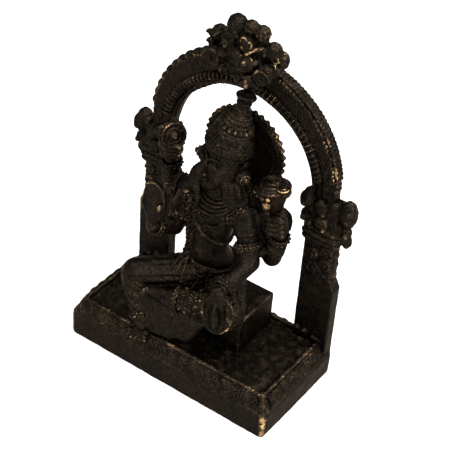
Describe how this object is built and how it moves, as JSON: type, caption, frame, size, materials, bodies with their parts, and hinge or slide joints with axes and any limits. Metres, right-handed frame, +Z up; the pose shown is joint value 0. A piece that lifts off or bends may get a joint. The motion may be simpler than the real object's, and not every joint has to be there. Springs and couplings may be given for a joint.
{
  "type": "hindu deity statue",
  "caption": "Cast bronze temple figurine: a crowned figure seated on a block with one leg down, raised and lowered hands, a beaded halo and a flame arch that lifts off the stepped plinth.",
  "frame": {"origin": "middle of the plinth's underside", "axes": "+Z up, +X to the viewer's right when facing the figure, -Y towards the viewer, the side the figure faces"},
  "size_m": [0.1394, 0.0683, 0.202],
  "materials": {
    "patinated_bronze": "dark brown patina, satin",
    "dark_bronze": "near-black patina, matt",
    "worn_bronze": "dark patina rubbed back to brass on its high points"
  },
  "bodies": {
    "root": {"plinth": "patinated_bronze", "border_frieze": "worn_bronze", "seat_block": "patinated_bronze", "seat_studs": "dark_bronze", "torso": "patinated_bronze", "neck_and_head": "patinated_bronze", "crown": "patinated_bronze", "crown_finial": "dark_bronze", "earring_right": "worn_bronze", "earring_left": "worn_bronze", "necklaces": "worn_bronze", "sacred_thread": "worn_bronze", "belt": "worn_bronze", "armlets": "worn_bronze", "bracelets": "worn_bronze", "anklets": "worn_bronze", "front_right_arm": "patinated_bronze", "front_right_hand": "patinated_bronze", "front_left_arm": "patinated_bronze", "front_left_hand": "patinated_bronze", "rear_right_arm": "patinated_bronze", "rear_right_hand": "patinated_bronze", "rear_left_arm": "patinated_bronze", "rear_left_hand": "patinated_bronze", "disc_emblem": "worn_bronze", "bud_emblem": "worn_bronze", "right_leg": "patinated_bronze", "right_foot": "worn_bronze", "left_leg": "patinated_bronze", "left_foot": "worn_bronze", "cloth_fall": "patinated_bronze", "halo_disc": "dark_bronze", "halo_beads": "patinated_bronze", "halo_peg": "dark_bronze"},
    "arch": {"post_right": "patinated_bronze", "post_left": "patinated_bronze", "capital_right": "worn_bronze", "capital_left": "worn_bronze", "arch_band": "patinated_bronze", "arch_inner_scallops": "dark_bronze", "arch_outer_scallops": "worn_bronze", "arch_roll": "worn_bronze", "crest_mask": "worn_bronze"}
  },
  "joints": [
    {"name": "arch_lift", "type": "slide", "parent": "root", "child": "arch", "axis": [0, 0, 1], "range_m": [0, 0.17]}
  ]
}
